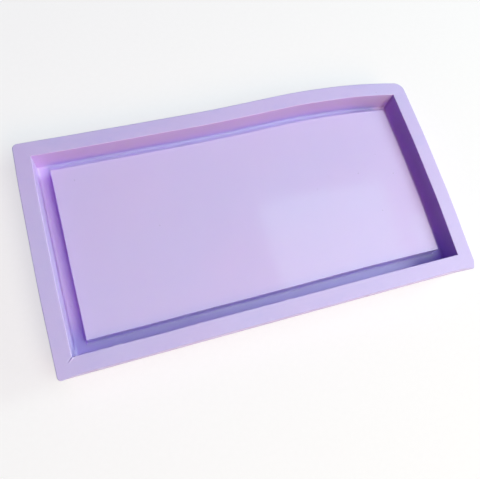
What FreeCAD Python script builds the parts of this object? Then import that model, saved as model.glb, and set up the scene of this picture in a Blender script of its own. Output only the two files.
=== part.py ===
import FreeCAD, Part
import math
import os

import Sketcher

# A one-piece cast silicone mould for a shallow rectangular tray.  It lies open side up: a plain
# block with a rectangular cavity, and in the cavity a raised plateau with a channel all round it.
# What is poured in takes the plateau as the hollow of the tray and the channel as the tray's wall.
#
# Frame: +X along the length, +Y across, +Z out of the open side.  The origin is the centre of
# the underside, which rests on the table at z = 0.  Sizes are in millimetres, and the draft is
# in degrees: the outer walls lean in below the rim, so the underside is smaller than the rim.

DIMENSIONS = {
    "cavity_length": 200.0,
    "cavity_width": 100.0,
    "cavity_depth": 14.0,
    "rim_width": 8.0,
    "floor_thickness": 4.0,
    "outer_draft": 3.0,
    "channel_width": 6.5,
    "plateau_height": 8.0,
    "outer_corner_radius": 2.5,
    "channel_root_radius": 1.0,
    "edge_radius": 0.3,
}

# Sizes that follow from the ones above, as spreadsheet formulas.
DERIVED = {
    "outer_length": "=cavity_length + 2 * rim_width",
    "outer_width": "=cavity_width + 2 * rim_width",
    "total_height": "=floor_thickness + cavity_depth",
    "plateau_length": "=cavity_length - 2 * channel_width",
    "plateau_width": "=cavity_width - 2 * channel_width",
    "plateau_top": "=floor_thickness + plateau_height",
}

POSITION_TOLERANCE = 0.01
VOLUME_TOLERANCE = 0.001

# A sketch's numbers for a line's start and end, and for the sketch's own origin.
START, END = 1, 2
SKETCH_ORIGIN = (-1, 1)


def make_sheet(doc):
    """The driving dimensions, one row each: the name, then the value with that name as alias."""
    sheet = doc.addObject("Spreadsheet::Sheet", "dims")
    for row, (name, value) in enumerate({**DIMENSIONS, **DERIVED}.items(), start=1):
        sheet.set(f"A{row}", name)
        sheet.set(f"B{row}", str(value))
        sheet.setAlias(f"B{row}", name)
    doc.recompute()
    return sheet


def origin_plane(body, role):
    """One of the body's own origin planes, found by its role."""
    return next(plane for plane in body.Origin.OriginFeatures if plane.Role == role)


def constrain(sketch, kind, *arguments):
    """Adds one constraint to the sketch and gives its number."""
    return sketch.addConstraint(Sketcher.Constraint(kind, *arguments))


def bind_distance(sketch, kind, line, alias):
    """Holds a line's length to a cell of the sheet."""
    number = constrain(sketch, kind, line, START, line, END, sketch.Document.dims.get(alias))
    sketch.renameConstraint(number, alias)
    sketch.setExpression(f"Constraints.{alias}", f"dims.{alias}")


def centred_rectangle(body, name, length, width, height):
    """A rectangle centred on the Z axis, at a height from the sheet."""
    sketch = body.newObject("Sketcher::SketchObject", name)
    sketch.AttachmentSupport = [(origin_plane(body, "XY_Plane"), "")]
    sketch.MapMode = "FlatFace"
    sketch.setExpression("AttachmentOffset.Base.z", f"dims.{height}")
    half_x = body.Document.dims.get(length) / 2
    half_y = body.Document.dims.get(width) / 2
    corners = [
        FreeCAD.Vector(x_side * half_x, y_side * half_y, 0)
        for x_side, y_side in ((-1, -1), (1, -1), (1, 1), (-1, 1))
    ]
    following = corners[1:] + corners[:1]
    lines = [
        sketch.addGeometry(Part.LineSegment(corner, next_corner))
        for corner, next_corner in zip(corners, following)
    ]
    front, right, back, left = lines
    for line, next_line in zip(lines, (right, back, left, front)):
        constrain(sketch, "Coincident", line, END, next_line, START)
    for line in (front, back):
        constrain(sketch, "Horizontal", line)
    for line in (right, left):
        constrain(sketch, "Vertical", line)
    constrain(sketch, "Symmetric", front, START, back, START, *SKETCH_ORIGIN)
    bind_distance(sketch, "DistanceX", front, length)
    bind_distance(sketch, "DistanceY", right, width)
    return sketch


def add_extrusion(body, kind, name, sketch, length):
    """A Pad or a Pocket of the sketch, as long as a cell of the sheet says."""
    feature = body.newObject(f"PartDesign::{kind}", name)
    feature.Profile = sketch
    feature.setExpression("Length", f"dims.{length}")
    body.Document.recompute()
    return feature


def add_fillet(body, name, radius, wanted):
    """Rounds the edges of the body's tip that the test accepts, given an edge's two ends."""
    base = body.Tip
    names = []
    for number, edge in enumerate(base.Shape.Edges, start=1):
        ends = [vertex.Point for vertex in edge.Vertexes]
        if len(ends) == 2 and wanted(*ends):
            names.append(f"Edge{number}")
    fillet = body.newObject("PartDesign::Fillet", name)
    fillet.Base = (base, names)
    fillet.setExpression("Radius", f"dims.{radius}")
    body.Document.recompute()
    return fillet


def close(first, second):
    return math.isclose(first, second, abs_tol=POSITION_TOLERANCE)


def level_at(height):
    """A test that accepts the edges lying at one height."""
    return lambda start, end: close(start.z, height) and close(end.z, height)


def rising_to(height):
    """A test that accepts the edges running from the underside to this height."""
    return lambda start, end: close(abs(start.z - end.z), height)


def build_mould(doc):
    """Block, cavity and plateau, then the rounding of its corners and edges."""
    dims = doc.dims
    body = doc.addObject("PartDesign::Body", "mould")
    body.Label = "mould"

    outline = centred_rectangle(
        body, "block_outline", "outer_length", "outer_width", "total_height"
    )
    block = add_extrusion(body, "Pad", "block", outline, "total_height")
    block.Reversed = True
    block.setExpression("TaperAngle", "-dims.outer_draft")
    doc.recompute()
    add_fillet(body, "outer_corners", "outer_corner_radius", rising_to(dims.total_height))

    outline = centred_rectangle(
        body, "cavity_outline", "cavity_length", "cavity_width", "total_height"
    )
    add_extrusion(body, "Pocket", "cavity", outline, "cavity_depth")

    outline = centred_rectangle(
        body, "plateau_outline", "plateau_length", "plateau_width", "floor_thickness"
    )
    add_extrusion(body, "Pad", "plateau", outline, "plateau_height")

    add_fillet(body, "channel_root", "channel_root_radius", level_at(dims.floor_thickness))
    add_fillet(body, "plateau_edge", "edge_radius", level_at(dims.plateau_top))
    add_fillet(body, "rim_edges", "edge_radius", level_at(dims.total_height))
    add_fillet(body, "underside_edge", "edge_radius", level_at(0))
    return body


def plain_volume(dims):
    """The mould's volume before any rounding: block less cavity, plus plateau."""
    lean = dims.total_height * math.tan(math.radians(dims.outer_draft))
    block = (dims.outer_length - lean) * (dims.outer_width - lean) * dims.total_height
    cavity = dims.cavity_length * dims.cavity_width * dims.cavity_depth
    plateau = dims.plateau_length * dims.plateau_width * dims.plateau_height
    return block - cavity + plateau


def check(doc, mould):
    """Stops if a feature failed, or if the mould isn't one valid solid of the right volume."""
    for item in doc.Objects:
        if "Invalid" in item.State or "Error" in item.State:
            raise RuntimeError(f"{item.Name} is {item.State}")
    shape = mould.Shape
    if shape.isNull() or not shape.isValid() or len(shape.Solids) != 1:
        raise RuntimeError("the mould is not one valid solid")
    if abs(shape.Volume / plain_volume(doc.dims) - 1) > VOLUME_TOLERANCE:
        raise RuntimeError(f"the mould's volume of {shape.Volume:.0f} mm3 is wrong")


def main():
    doc = FreeCAD.newDocument("tray_mould")
    make_sheet(doc)
    mould = build_mould(doc)
    doc.recompute()
    check(doc, mould)
    os.makedirs("parts", exist_ok=True)
    mould.Shape.exportStep(f"parts/{mould.Label}.step")


main()
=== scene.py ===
import math

import bpy
import numpy as np
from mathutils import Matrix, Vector, noise


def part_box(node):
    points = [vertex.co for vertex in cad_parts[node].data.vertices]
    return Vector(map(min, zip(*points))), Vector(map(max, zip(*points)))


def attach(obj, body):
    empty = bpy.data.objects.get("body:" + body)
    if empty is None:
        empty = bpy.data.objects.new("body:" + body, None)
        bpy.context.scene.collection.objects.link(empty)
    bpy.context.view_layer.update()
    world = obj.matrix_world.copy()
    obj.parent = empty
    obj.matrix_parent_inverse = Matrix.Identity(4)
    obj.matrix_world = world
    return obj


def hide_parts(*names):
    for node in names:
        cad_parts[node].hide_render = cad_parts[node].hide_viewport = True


# The looks of a soft, lilac, one-piece silicone tray mould, on a pale studio floor.
# Mesh code works in millimetres, in the frame of the CAD, and make_mesh() turns them into metres.
# Names: near and far are -Y and +Y, left and right are -X and +X.

NODE = "mould"
METRES = 0.001

# Roundings of the soft edges.
CUT_EDGE = 0.2
OUTER_EDGE = 0.35
BOTTOM_EDGE = 0.5
CHANNEL_ROOT = 1.3
# The outer corners, each by the signs of its X and Y.
CORNER_RADIUS = {(-1, -1): 1.9, (1, -1): 0.9, (1, 1): 4.6, (-1, 1): 2.4}
# A flat strip this wide beside each rounding keeps the shading of the flats even.
HOLD = 0.12

# A point of the CAD solid inside this share of a half width is clear of the wall there.
CLEAR_OF_WALL = 0.95

# The underside was the free surface of the pour.  The mould rests on its edge, and inside the
# edge it rises by this much over a band this wide.
MENISCUS_RISE = 0.3
MENISCUS_WIDTH = 4.5

# Mesh spacing: distances from each corner, then this pitch along the sides.
CORNER_STEPS = (0.0, 0.2, 0.42, 0.68, 1.0, 1.4, 1.9, 2.5, 3.2, 4.0, 5.0)
SIDE_PITCH = 1.2
# How many steps the profile takes round each edge, and along each face between the edges.
CUT_STEPS = 4
ROOT_STEPS = 7
EDGE_STEPS = 5
PLATEAU_SIDE_STEPS = 5
CHANNEL_STEPS = 4
CAVITY_WALL_STEPS = 8
RIM_STEPS = 16
OUTER_WALL_STEPS = 9
MENISCUS_STEPS = 7

# How the soft casting has relaxed.  Places along a side run from -1 to 1.
# The far side bulges at one place, sags elsewhere, and is drawn in towards its right end.
FAR_BULGE = 1.9
FAR_BULGE_PLACE = 0.41
FAR_BULGE_SPREAD = 0.33
FAR_SAG = 0.3
FAR_CORNER_PULL = 3.9
FAR_PULL_START = 0.62
# The right side bows out between corners that are drawn in.
RIGHT_BOW = 1.45
RIGHT_PULL = 0.95
# The near corners flare out at the rim, and the right one is nipped back along the right side.
NEAR_RIGHT_FLARE = 1.9
NEAR_LEFT_FLARE = 0.9
FLARE_REACH = 6.0
NEAR_RIGHT_NIP = 1.5
NIP_LENGTH = 4.1
# The tops of the cavity's end walls lean this way along X.
LEFT_WALL_LEAN = -1.1
LEFT_LEAN_LOST_AT_CORNERS = 0.8
RIGHT_WALL_LEAN = -0.55

# Slow unevenness of the cast surfaces: height and wavelength.  Each wave has its own place in
# the noise, this far from the one before it.
WALL_WAVE = (0.16, 30.0)
RIM_WAVE = (0.14, 26.0)
PLATEAU_WAVE = (0.12, 55.0)
WAVE_SHIFT = Vector((7.3, 3.1, 5.7))
# Where the waves fade or end: below the rim's top, below the plateau's top, this far inside the
# cavity's walls, and between two heights above the table.
RIM_FADE = 1.5
PLATEAU_FADE = 0.5
CAVITY_MARGIN = 2.0
TABLE_FADE = (0.5, 3.0)

# Thin flash on the near side's cut edge: teeth where the noise along the edge is above a level,
# with none at the ends of the side.
FLASH_REACH = 0.34
FLASH_PITCH = 1.9
FLASH_SEED = Vector((3.7, 0.4, 0.2))
FLASH_LEVEL = 0.12
FLASH_GAIN = 2.2
FLASH_SPREAD = 0.16
FLASH_END = 1.0

# Tears in the rim at the cavity's left corners: the signs of the corner's X and Y, then the
# length, the depth, and how far one lip stands up.  Each fades in between two depths.
TEARS = (((-1, -1), 2.5, 0.8, 0.6), ((-1, 1), 1.6, 0.6, 0.15))
TEAR_FADE = (1.0, 0.1)
TEAR_CURL = 0.12
GROOVE_WIDTH = 0.16
LIP_OFFSET = 0.42
LIP_WIDTH = 0.22

# Where the camera stands, in metres, and its turns about X, Y and Z, in degrees.
CAMERA_PLACE = (-0.0742, -0.0826, 0.2722)
CAMERA_TURNS = (14.87, -13.34, -13.15)
CAMERA_LENS = 40.93
CAMERA_SENSOR = 36.0
CAMERA_NEAR_CLIP = 0.01

# The silicone's two close tints, and the smudges and dust on it.  The largest speck of dust is
# this share of the distance between specks.
COOL_LILAC = (0.60, 0.535, 0.845)
WARM_LILAC = (0.625, 0.53, 0.84)
SMUDGE_BLUE = (0.45, 0.44, 0.80, 1.0)
DUST_GREY = (0.30, 0.26, 0.46, 1.0)
DUST_COVER = 0.6
DUST_ROUGHNESS = 0.3
DUST_SIZE = 0.065
# Colour given to bounced light only: the silicone's deeper body colour, pushed further as painted
# shade that deepens shaded walls and recesses.
BOUNCE_SHADE_LILAC = (0.55, 0.27, 0.84, 1.0)

# Features of the skin per metre, from the broad clouds of tint to the fine grain.
CLOUD_SCALE = 16.0
WIPE_SCALE = 24.0
DUST_PATCH_SCALE = 40.0
STREAK_SCALE = 55.0
RIPPLE_SCALE = 120.0
DUST_SCALE = 150.0
GRAIN_SCALE = 1500.0
# Wipes and streaks run along the mould's length, so they are finer the other two ways.
WIPE_STRETCH = (1.0, 2.4, 2.4)
# Each noise takes effect between these two of its values.
CLOUD_BAND = (0.35, 0.65)
WIPE_BAND = (0.3, 0.7)
STREAK_BAND = (0.52, 0.68)
DUST_BAND = (0.50, 0.68)
FIBRE_BAND = (0.3, 0.7)
# The relief of the skin: the ripple's share beside the grain's, and the depth in metres.
RIPPLE_HEIGHT = 0.25
RELIEF_STRENGTH = 0.25
RELIEF_DEPTH = 0.0002

# The skins of the casting, from the polished plateau to the underside.
FINISHES = {
    "cast": dict(tone=(1.0, 1.0, 1.0), roughness=0.09, grain=0.05, smears=0.02, smudges=0.03),
    "channel": dict(tone=(1.0, 1.0, 1.0), roughness=0.36, grain=0.2, smears=0.03, smudges=0.0),
    "rim": dict(tone=(0.93, 0.94, 0.97), roughness=0.42, grain=0.6, smears=0.08, smudges=0.22),
    # The outer wall's darker, less pink tone is painted shade on the outer walls.
    "wall": dict(tone=(0.82, 0.86, 0.90), roughness=0.5, grain=0.9, smears=0.06, smudges=0.1),
    "pour": dict(tone=(1.0, 1.0, 1.0), roughness=0.28, grain=0.15, smears=0.04, smudges=0.05),
}

# The floor's paper.  It glows for the camera, by a share that grows from NEAR_GLOW to all
# between these two distances from the mould, so that it fades into the backdrop.
FLOOR_HALF = 6.0
FIBRE_SCALE = 400.0
PAPER_TINTS = (0.86, 0.86, 0.87, 1.0), (0.89, 0.89, 0.90, 1.0)
BACKDROP = (0.96, 0.96, 0.965, 1.0)
NEAR_GLOW = 0.7
GLOW_GROWS = (0.3, 1.5)

# The softboxes, all at one distance: direction from the origin, the two widths of the oval in
# metres, power in watts, colour.
SOFTBOX_DISTANCE = 1.15
SOFTBOXES = {
    "key_light": ((0.33, -0.45, 1.0), (0.58, 0.77), 7.4, (0.785, 1.0, 0.83)),
    "near_light": ((0.25, -1.20, 1.0), (0.64, 0.58), 6.7, (1.0, 0.53, 0.31)),
    "right_light": ((1.75, 0.0, 1.0), (0.38, 0.38), 7.9, (0.79, 0.99, 0.86)),
    "corner_light": ((1.50, -0.80, 1.0), (0.38, 0.38), 1.8, (0.86, 0.92, 0.85)),
    "sky_light": ((0.10, 0.30, 1.0), (0.77, 0.64), 1.4, (0.25, 0.15, 1.0)),
}
# The window panes overhead that the polished plateau reflects: place, widths, power.
PANES = {
    "wide_pane": ((0.305, 0.06, 0.615), (0.24, 0.28), 0.50),
    "slim_pane": ((0.505, 0.02, 0.615), (0.11, 0.20), 0.14),
}
PANE_TINT = (0.48, 0.97, 0.82)
AMBIENT = (0.52, 0.33, 0.96, 1.0)
AMBIENT_STRENGTH = 0.13


# ---------------------------------------------------------------- sizes from the frame

def cavity_sizes(mesh, low, high):
    """How far the outer wall leans in, and the cavity's heights and widths, off the CAD solid."""
    points = np.array([vertex.co for vertex in mesh.vertices]) / METRES
    reach = abs(points)
    foot = points[:, 2] < low.z + BOTTOM_EDGE
    off_outer_walls = (reach[:, :2] < np.array(high.xy) * CLEAR_OF_WALL).all(axis=1)
    inside = off_outer_walls & ~foot
    lower = inside & (points[:, 2] < (low.z + high.z) / 2)
    cavity_half = reach[lower, 0].max()
    plateau = inside & ~lower & (reach[:, 0] < cavity_half * CLEAR_OF_WALL)
    return {
        "tuck": high.x - reach[foot, 0].max(),
        "floor": points[lower, 2].min(),
        "plateau": points[plateau, 2].max(),
        "rim": high.x - cavity_half,
        "channel": cavity_half - reach[plateau, 0].max(),
    }


# ---------------------------------------------------------------- the profile

def arc(centre_out, centre_z, radius, start, end, steps):
    """Points of an arc in the profile, with angles in degrees from the outward direction."""
    angles = np.radians(np.linspace(start, end, steps + 1))
    return [(centre_out + radius * math.cos(a), centre_z + radius * math.sin(a)) for a in angles]


def straight(start, end, steps):
    """Points between two profile points, without the two ends."""
    shares = np.linspace(0, 1, steps + 1)[1:-1]
    return [tuple(np.array(start) * (1 - s) + np.array(end) * s) for s in shares]


def mould_profile(sizes, top):
    """(distance out from the outer face, height, finish) from the plateau to the underside."""
    floor, plateau = sizes["floor"], sizes["plateau"]
    inner = -sizes["rim"]
    foot = inner - sizes["channel"]
    root, cut, hold = CHANNEL_ROOT, CUT_EDGE, HOLD

    cast = [(foot - cut - hold, plateau)]
    cast += arc(foot - cut, plateau - cut, cut, 90, 0, CUT_STEPS)

    side_top, side_end = (foot, plateau - cut - hold), (foot, floor + root + hold)
    wall_start, wall_top = (inner, floor + root), (inner, top - cut - hold)
    channel = [side_top] + straight(side_top, side_end, PLATEAU_SIDE_STEPS)
    channel += arc(foot + root, floor + root, root, 180, 270, ROOT_STEPS)
    channel += straight((foot + root, floor), (inner - root, floor), CHANNEL_STEPS)
    channel += arc(inner - root, floor + root, root, 270, 360, ROOT_STEPS)
    channel += straight(wall_start, wall_top, CAVITY_WALL_STEPS) + [wall_top]
    channel += arc(inner + cut, top - cut, cut, 180, 90, CUT_STEPS)

    rim_start, rim_end = (inner + cut + hold, top), (-OUTER_EDGE - hold, top)
    rim = [rim_start] + straight(rim_start, rim_end, RIM_STEPS) + [rim_end]

    below_rim = (0.0, top - OUTER_EDGE - hold)
    above_table = (-sizes["tuck"], BOTTOM_EDGE + hold)
    wall = arc(-OUTER_EDGE, top - OUTER_EDGE, OUTER_EDGE, 90, 0, EDGE_STEPS)
    wall += [below_rim] + straight(below_rim, above_table, OUTER_WALL_STEPS) + [above_table]
    wall += arc(-sizes["tuck"] - BOTTOM_EDGE, BOTTOM_EDGE, BOTTOM_EDGE, 0, -90, EDGE_STEPS)

    pour = []
    for share in np.linspace(0, 1, MENISCUS_STEPS + 1)[1:]:
        rise = MENISCUS_RISE * (1 - (1 - share) ** 3)
        pour.append((-sizes["tuck"] - BOTTOM_EDGE - share * MENISCUS_WIDTH, rise))

    named = (("cast", cast), ("channel", channel), ("rim", rim), ("wall", wall), ("pour", pour))
    return [(out, z, finish) for finish, points in named for out, z in points]


# ---------------------------------------------------------------- loops round the mould

def side_places(half, pitches):
    """Places along a side: close together at the corners, and even between them."""
    near_corner = np.array(CORNER_STEPS)
    even = np.linspace(-half + CORNER_STEPS[-1], half - CORNER_STEPS[-1], pitches + 1)
    return np.concatenate([near_corner - half, even[1:-1], (half - near_corner)[::-1]])


def rounded(place, half_x, half_y, sides, radius):
    """Moves a point of the rectangle near the corner (sides) onto that corner's arc."""
    corner = np.array([sides[0] * half_x, sides[1] * half_y])
    to_corner = abs(place - corner)
    distance = to_corner.max()
    if distance >= radius:
        return place
    turn = (1 - distance / radius) * math.pi / 4
    reach = np.array([math.sin(turn), math.cos(turn)])
    if to_corner[1] > to_corner[0]:
        reach = reach[::-1]
    return corner - np.array(sides) * radius * (1 - reach)


def ring(half_x, half_y, out, pitches_x, pitches_y):
    """One loop of points round the mould, from the near left corner to the right."""
    xs = side_places(half_x, pitches_x)
    ys = side_places(half_y, pitches_y)
    loop = [(x, -half_y) for x in xs[:-1]]
    loop += [(half_x, y) for y in ys[:-1]]
    loop += [(x, half_y) for x in xs[:0:-1]]
    loop += [(-half_x, y) for y in ys[:0:-1]]
    points = []
    for x, y in loop:
        sides = (1 if x > 0 else -1, 1 if y > 0 else -1)
        radius = CORNER_RADIUS[sides] + out
        place = np.array([x, y])
        points.append(rounded(place, half_x, half_y, sides, radius) if radius > 0 else place)
    return np.array(points)


def border_walk(rows, columns):
    """The (row, column) places round the border of a grid, in the order of a ring."""
    walk = [(0, i) for i in range(columns - 1)]
    walk += [(i, columns - 1) for i in range(rows - 1)]
    walk += [(rows - 1, i) for i in range(columns - 1, 0, -1)]
    walk += [(i, 0) for i in range(rows - 1, 0, -1)]
    return walk


def sheet(xs, ys, height):
    """A grid of points at one height, row by row from the near side."""
    return np.array([(x, y, height) for y in ys for x in xs])


def sheet_quads(numbers, facing_up):
    """The quads of a grid of point numbers."""
    quads = []
    for row, next_row in zip(numbers, numbers[1:]):
        for a, b, c, d in zip(row, row[1:], next_row[1:], next_row):
            quads.append((a, b, c, d) if facing_up else (d, c, b, a))
    return quads


def mould_shell(sizes, high):
    """Points, quads and finishes of the nominal, closed mould, before it relaxes."""
    profile = mould_profile(sizes, high.z)
    pitches_x = round(2 * (high.x - CORNER_STEPS[-1]) / SIDE_PITCH)
    pitches_y = round(2 * (high.y - CORNER_STEPS[-1]) / SIDE_PITCH)

    out, height, _ = profile[0]
    xs, ys = side_places(high.x + out, pitches_x), side_places(high.y + out, pitches_y)
    walk = border_walk(len(ys), len(xs))
    numbers = np.arange(len(xs) * len(ys)).reshape(len(ys), len(xs))
    blocks = [sheet(xs, ys, height)]
    quads = sheet_quads(numbers.tolist(), facing_up=True)
    finishes = ["cast"] * len(quads)

    previous = [int(numbers[place]) for place in walk]
    count = numbers.size
    for out, height, finish in profile[1:]:
        loop = ring(high.x + out, high.y + out, out, pitches_x, pitches_y)
        blocks.append(np.column_stack([loop, np.full(len(loop), height)]))
        current = list(range(count, count + len(loop)))
        count += len(loop)
        for i in range(len(loop)):
            quads.append((previous[i - 1], current[i - 1], current[i], previous[i]))
            finishes.append(finish)
        previous = current

    out, height, _ = profile[-1]
    xs, ys = side_places(high.x + out, pitches_x), side_places(high.y + out, pitches_y)
    numbers[1:-1, 1:-1] = count + np.arange((len(xs) - 2) * (len(ys) - 2)).reshape(len(ys) - 2, -1)
    for place, number in zip(walk, previous):
        numbers[place] = number
    blocks.append(sheet(xs[1:-1], ys[1:-1], height))
    under = sheet_quads(numbers.tolist(), facing_up=False)
    return np.concatenate(blocks), quads + under, finishes + ["pour"] * len(under)


# ---------------------------------------------------------------- softness

def wave(points, size, seed):
    """Slow, smooth noise from -1 to 1 at each point, with features about this size."""
    shift = WAVE_SHIFT * seed
    return np.array([noise.noise(Vector(p) / size + shift) for p in points])


def smooth_step(value, start, end):
    """From 0 before start to 1 after end, with a smooth turn between them."""
    share = np.clip((value - start) / (end - start), 0, 1)
    return share * share * (3 - 2 * share)


def add_unevenness(points, sizes, high):
    """Slow waves of the walls, the rim's top and the plateau, each a fraction of a millimetre."""
    x, y, z = points.T.copy()
    on_top = smooth_step(z, high.z - RIM_FADE, high.z)
    off_table = smooth_step(z, *TABLE_FADE)
    height, size = RIM_WAVE
    points[:, 2] += height * on_top * wave(points, size, 1)
    height, size = WALL_WAVE
    points[:, 0] += height * off_table * wave(points, size, 2)
    points[:, 1] += height * off_table * wave(points, size, 3)
    height, size = PLATEAU_WAVE
    on_plateau = smooth_step(z, sizes["plateau"] - PLATEAU_FADE, sizes["plateau"]) * (1 - on_top)
    margin = sizes["rim"] + CAVITY_MARGIN
    inside = (abs(x) < high.x - margin) & (abs(y) < high.y - margin)
    points[:, 2] += height * on_plateau * inside * wave(points, size, 4)


def add_flash(points, sizes, high):
    """Short, thin teeth of flash that reach into the cavity from the near side's cut edge."""
    x, y, z = points.T
    off_edge = np.hypot(y + high.y - sizes["rim"], z - high.z + CUT_EDGE / 2)
    on_edge = np.exp(-((off_edge / FLASH_SPREAD) ** 2))
    on_edge *= abs(x) < high.x - sizes["rim"] - FLASH_END
    along = Vector((1 / FLASH_PITCH, 0, 0))
    teeth = np.array([noise.noise(FLASH_SEED + along * place) for place in x])
    teeth = np.clip(teeth - FLASH_LEVEL, 0, None) * FLASH_GAIN
    points[:, 1] += FLASH_REACH * on_edge * teeth


def add_tear(points, corner, sides, length, depth, lift, top):
    """A short diagonal tear in the rim at a corner of the cavity, with one lip standing up."""
    outward = np.array(sides) / math.sqrt(2)
    across = np.array([-outward[1], outward[0]])
    offset = points[:, :2] - corner
    along = offset @ outward
    side = offset @ across + TEAR_CURL * along**2
    near_top = smooth_step(points[:, 2], top - TEAR_FADE[0], top - TEAR_FADE[1])
    taper = np.clip(1 - along / length, 0, 1) * (along > -2 * CUT_EDGE)
    groove = np.exp(-((side / GROOVE_WIDTH) ** 2))
    lip = np.exp(-(((side - LIP_OFFSET) / LIP_WIDTH) ** 2))
    points[:, 2] += near_top * taper * (lift * lip - depth * groove)


def height_up_walls(points, sizes, high):
    """How far up the cavity's walls each point is, from 0 to 1, and 0 on the plateau."""
    half_channel = sizes["channel"] / 2
    cavity_x, cavity_y = high.x - sizes["rim"], high.y - sizes["rim"]
    in_wall = np.maximum(
        smooth_step(abs(points[:, 0]), cavity_x - half_channel, cavity_x),
        smooth_step(abs(points[:, 1]), cavity_y - half_channel, cavity_y),
    )
    return in_wall * np.clip((points[:, 2] - sizes["floor"]) / (high.z - sizes["floor"]), 0, 1)


def relax(points, sizes, high):
    """The bow of the sides, the lean of the end walls, and the flare of the near corners."""
    u, v = points[:, 0] / high.x, points[:, 1] / high.y
    to_right, to_far = (1 + u) / 2, (1 + v) / 2
    raised = height_up_walls(points, sizes, high)

    nipped = np.clip(1 - (points[:, 1] + high.y) / NIP_LENGTH, 0, 1)
    nipped *= smooth_step(points[:, 0], high.x - sizes["rim"], high.x)
    right_curve = RIGHT_BOW * (1 - v**2) - RIGHT_PULL
    left_lean = LEFT_WALL_LEAN + LEFT_LEAN_LOST_AT_CORNERS * v**2
    points[:, 0] += right_curve * to_right - NEAR_RIGHT_NIP * nipped
    points[:, 0] += raised * RIGHT_WALL_LEAN * to_right + raised**2 * left_lean * (1 - to_right)

    bulge = FAR_BULGE * np.exp(-(((u - FAR_BULGE_PLACE) / FAR_BULGE_SPREAD) ** 2))
    pull = FAR_CORNER_PULL * np.clip((u - FAR_PULL_START) / (1 - FAR_PULL_START), 0, None) ** 2
    points[:, 1] += (bulge - pull - FAR_SAG) * to_far
    for side, flare in ((1, NEAR_RIGHT_FLARE), (-1, NEAR_LEFT_FLARE)):
        from_corner = np.hypot(points[:, 0] - side * high.x, points[:, 1] + high.y)
        points[:, 1] -= flare * np.exp(-((from_corner / FLARE_REACH) ** 2)) * points[:, 2] / high.z


# ---------------------------------------------------------------- materials

class Nodes:
    """A short way to add and join the nodes of one material."""

    def __init__(self, name):
        self.material = bpy.data.materials.new(name)
        self.material.use_nodes = True
        self.tree = self.material.node_tree
        self.tree.nodes.clear()

    def add(self, kind, inputs=None, **settings):
        node = self.tree.nodes.new(kind)
        for key, value in settings.items():
            setattr(node, key, value)
        for key, value in (inputs or {}).items():
            socket = node.inputs[key]
            if isinstance(value, bpy.types.NodeSocket):
                self.tree.links.new(value, socket)
            else:
                socket.default_value = value
        return node

    def noise(self, place, scale, detail=2.0, roughness=0.5):
        inputs = {"Vector": place, "Scale": scale, "Detail": detail, "Roughness": roughness}
        return self.add("ShaderNodeTexNoise", inputs).outputs["Fac"]

    def remap(self, value, low, high, to_low, to_high):
        inputs = {"Value": value, 1: low, 2: high, 3: to_low, 4: to_high}
        return self.add("ShaderNodeMapRange", inputs).outputs["Result"]

    def math(self, operation, first, second):
        inputs = {0: first, 1: second}
        return self.add("ShaderNodeMath", inputs, operation=operation).outputs["Value"]

    def mix(self, share, first, second):
        node = self.add("ShaderNodeMix", data_type="RGBA")
        for key, value in ((0, share), (6, first), (7, second)):
            if isinstance(value, bpy.types.NodeSocket):
                self.tree.links.new(value, node.inputs[key])
            else:
                node.inputs[key].default_value = value
        return node.outputs[2]


def silicone(name, tone, roughness, grain, smears, smudges):
    """Soft lilac silicone: two close tints, with smudges, sparse dust and a wiped skin."""
    nodes = Nodes(name)
    place = nodes.add("ShaderNodeTexCoord").outputs["Object"]
    clouds = nodes.noise(place, CLOUD_SCALE, detail=3.0)
    cool, warm = ((*np.multiply(tone, lilac), 1.0) for lilac in (COOL_LILAC, WARM_LILAC))
    tint = nodes.mix(nodes.remap(clouds, *CLOUD_BAND, 0.0, 1.0), cool, warm)

    stretch = nodes.add("ShaderNodeMapping", {"Vector": place, "Scale": WIPE_STRETCH})
    stretched = stretch.outputs["Vector"]
    wiped = nodes.noise(stretched, WIPE_SCALE, detail=3.0)
    streaks = nodes.noise(stretched, STREAK_SCALE, detail=4.0, roughness=0.6)
    tint = nodes.mix(nodes.remap(streaks, *STREAK_BAND, 0.0, smudges), tint, SMUDGE_BLUE)

    dust_cells = nodes.add("ShaderNodeTexVoronoi", {"Vector": place, "Scale": DUST_SCALE})
    dust_patches = nodes.noise(place, DUST_PATCH_SCALE)
    dust_size = nodes.remap(dust_patches, *DUST_BAND, 0.0, DUST_SIZE)
    dust = nodes.math("LESS_THAN", dust_cells.outputs["Distance"], dust_size)
    tint = nodes.mix(nodes.math("MULTIPLY", dust, DUST_COVER), tint, DUST_GREY)

    # Painted shade: bounced light takes the deeper lilac, so shaded walls and recesses turn a
    # strong violet.
    bounced = nodes.add("ShaderNodeLightPath").outputs["Is Diffuse Ray"]
    tint = nodes.mix(bounced, tint, BOUNCE_SHADE_LILAC)

    skin = nodes.remap(wiped, *WIPE_BAND, roughness - smears, roughness + smears)
    skin = nodes.math("ADD", skin, nodes.math("MULTIPLY", dust, DUST_ROUGHNESS))

    fine = nodes.math("MULTIPLY", nodes.noise(place, GRAIN_SCALE), grain)
    slow = nodes.math("MULTIPLY", nodes.noise(place, RIPPLE_SCALE), RIPPLE_HEIGHT)
    relief = nodes.math("ADD", fine, slow)
    bump = nodes.add(
        "ShaderNodeBump",
        {"Height": relief, "Strength": RELIEF_STRENGTH, "Distance": RELIEF_DEPTH},
    )

    shader = nodes.add(
        "ShaderNodeBsdfPrincipled",
        {
            "Base Color": tint,
            "Roughness": skin,
            "IOR": 1.41,
            "Normal": bump.outputs["Normal"],
            "Subsurface Weight": 0.25,
            "Subsurface Radius": (1.0, 0.75, 1.0),
            "Subsurface Scale": 0.0015,
        },
    )
    nodes.add("ShaderNodeOutputMaterial", {"Surface": shader.outputs["BSDF"]})
    return nodes.material


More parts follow.
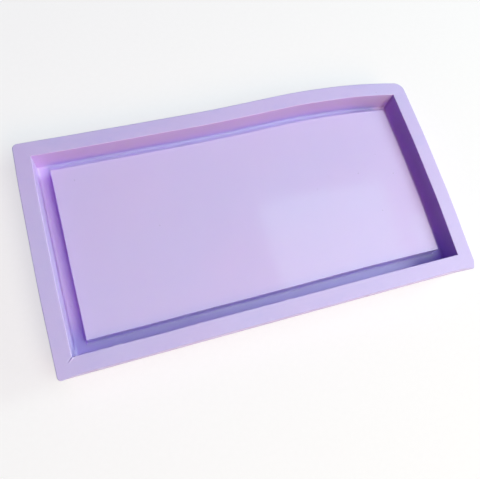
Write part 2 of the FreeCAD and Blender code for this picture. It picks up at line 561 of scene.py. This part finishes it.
def floor_material():
    """Pale, matte studio paper that glows for the camera, and fades into the backdrop."""
    nodes = Nodes("studio_paper")
    place = nodes.add("ShaderNodeTexCoord").outputs["Object"]
    fibre = nodes.noise(place, FIBRE_SCALE, detail=4.0)
    tint = nodes.mix(nodes.remap(fibre, *FIBRE_BAND, 0.0, 1.0), *PAPER_TINTS)
    paper = nodes.add("ShaderNodeBsdfPrincipled", {"Base Color": tint, "Roughness": 0.85})
    glow = nodes.add("ShaderNodeEmission", {"Color": BACKDROP, "Strength": 1.0})
    seen = nodes.add("ShaderNodeLightPath").outputs["Is Camera Ray"]
    away = nodes.add("ShaderNodeVectorMath", {0: place}, operation="LENGTH").outputs["Value"]
    lift = nodes.math("MULTIPLY", seen, nodes.remap(away, *GLOW_GROWS, NEAR_GLOW, 1.0))
    shader = nodes.add("ShaderNodeMixShader", {"Fac": lift})
    nodes.tree.links.new(paper.outputs["BSDF"], shader.inputs[1])
    nodes.tree.links.new(glow.outputs["Emission"], shader.inputs[2])
    nodes.add("ShaderNodeOutputMaterial", {"Surface": shader.outputs["Shader"]})
    return nodes.material


# ---------------------------------------------------------------- the piece

def make_mesh(name, points, faces, finishes):
    """One smooth-shaded mesh object, with a material for each finish."""
    mesh = bpy.data.meshes.new(name)
    mesh.from_pydata((points * METRES).tolist(), [], faces)
    order = list(FINISHES)
    for finish in order:
        mesh.materials.append(silicone(f"silicone_{finish}", **FINISHES[finish]))
    mesh.polygons.foreach_set("material_index", [order.index(f) for f in finishes])
    mesh.polygons.foreach_set("use_smooth", [True] * len(faces))
    mesh.update()
    piece = bpy.data.objects.new(name, mesh)
    bpy.context.scene.collection.objects.link(piece)
    return piece


def build_mould(frame):
    """The silicone casting, relaxed a little from the nominal CAD solid that it stands for."""
    low, high = (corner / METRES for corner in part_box(NODE))
    sizes = cavity_sizes(frame["nodes"][NODE].data, low, high)
    points, faces, finishes = mould_shell(sizes, high)
    cavity_half = np.array([high.x, high.y]) - sizes["rim"]
    add_unevenness(points, sizes, high)
    add_flash(points, sizes, high)
    for sides, length, depth, lift in TEARS:
        add_tear(points, cavity_half * sides, sides, length, depth, lift, high.z)
    relax(points, sizes, high)
    piece = make_mesh("silicone_mould", points, faces, finishes)
    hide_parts(NODE)
    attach(piece, "root")


# ---------------------------------------------------------------- studio

def add_floor():
    mesh = bpy.data.meshes.new("studio_floor")
    half = FLOOR_HALF
    corners = [(-half, -half, 0), (half, -half, 0), (half, half, 0), (-half, half, 0)]
    mesh.from_pydata(corners, [], [(0, 1, 2, 3)])
    mesh.materials.append(floor_material())
    floor = bpy.data.objects.new("studio_floor", mesh)
    bpy.context.scene.collection.objects.link(floor)


def add_light(name, shape, place, size, power, colour):
    """An area light that faces straight down."""
    light = bpy.data.lights.new(name, "AREA")
    light.shape = shape
    light.size, light.size_y = size
    light.energy = power
    light.color = colour
    lamp = bpy.data.objects.new(name, light)
    lamp.location = place
    bpy.context.scene.collection.objects.link(lamp)
    return lamp


def add_softboxes():
    """Soft, oval lights that face the origin.  The sky's has no reflection of its own."""
    for name, (towards, size, power, colour) in SOFTBOXES.items():
        place = Vector(towards).normalized() * SOFTBOX_DISTANCE
        lamp = add_light(name, "ELLIPSE", place, size, power, colour)
        lamp.rotation_euler = (-place).to_track_quat("-Z", "Y").to_euler()
        lamp.visible_glossy = (name != "sky_light")


def add_panes():
    """Window panes that show only as reflections."""
    for name, (place, size, power) in PANES.items():
        lamp = add_light(name, "RECTANGLE", place, size, power, PANE_TINT)
        lamp.visible_diffuse = False


def add_world():
    """A pale backdrop for the camera, and a dim, violet ambient light for the object."""
    world = bpy.data.worlds.new("studio_world")
    bpy.context.scene.world = world
    world.use_nodes = True
    tree = world.node_tree
    tree.nodes.clear()
    seen = tree.nodes.new("ShaderNodeBackground")
    seen.inputs["Color"].default_value = BACKDROP
    ambient = tree.nodes.new("ShaderNodeBackground")
    ambient.inputs["Color"].default_value = AMBIENT
    ambient.inputs["Strength"].default_value = AMBIENT_STRENGTH
    path = tree.nodes.new("ShaderNodeLightPath")
    choose = tree.nodes.new("ShaderNodeMixShader")
    output = tree.nodes.new("ShaderNodeOutputWorld")
    tree.links.new(path.outputs["Is Camera Ray"], choose.inputs["Fac"])
    tree.links.new(ambient.outputs["Background"], choose.inputs[1])
    tree.links.new(seen.outputs["Background"], choose.inputs[2])
    tree.links.new(choose.outputs["Shader"], output.inputs["Surface"])


def add_camera():
    data = bpy.data.cameras.new("camera")
    data.lens = CAMERA_LENS
    data.sensor_width = CAMERA_SENSOR
    data.clip_start = CAMERA_NEAR_CLIP
    camera = bpy.data.objects.new("camera", data)
    camera.location = CAMERA_PLACE
    camera.rotation_mode = "ZYX"
    camera.rotation_euler = [math.radians(turn) for turn in CAMERA_TURNS]
    bpy.context.scene.collection.objects.link(camera)
    bpy.context.scene.camera = camera


def add_studio():
    add_floor()
    add_world()
    add_softboxes()
    add_panes()
    add_camera()
    bpy.context.scene.view_settings.view_transform = "Standard"


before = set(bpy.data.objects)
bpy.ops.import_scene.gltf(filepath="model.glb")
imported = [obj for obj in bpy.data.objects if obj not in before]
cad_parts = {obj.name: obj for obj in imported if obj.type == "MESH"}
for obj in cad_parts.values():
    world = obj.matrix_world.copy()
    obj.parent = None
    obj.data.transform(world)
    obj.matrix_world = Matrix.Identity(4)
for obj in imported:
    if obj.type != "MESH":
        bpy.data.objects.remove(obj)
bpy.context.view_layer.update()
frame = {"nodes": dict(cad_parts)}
build_mould(frame)
add_studio()
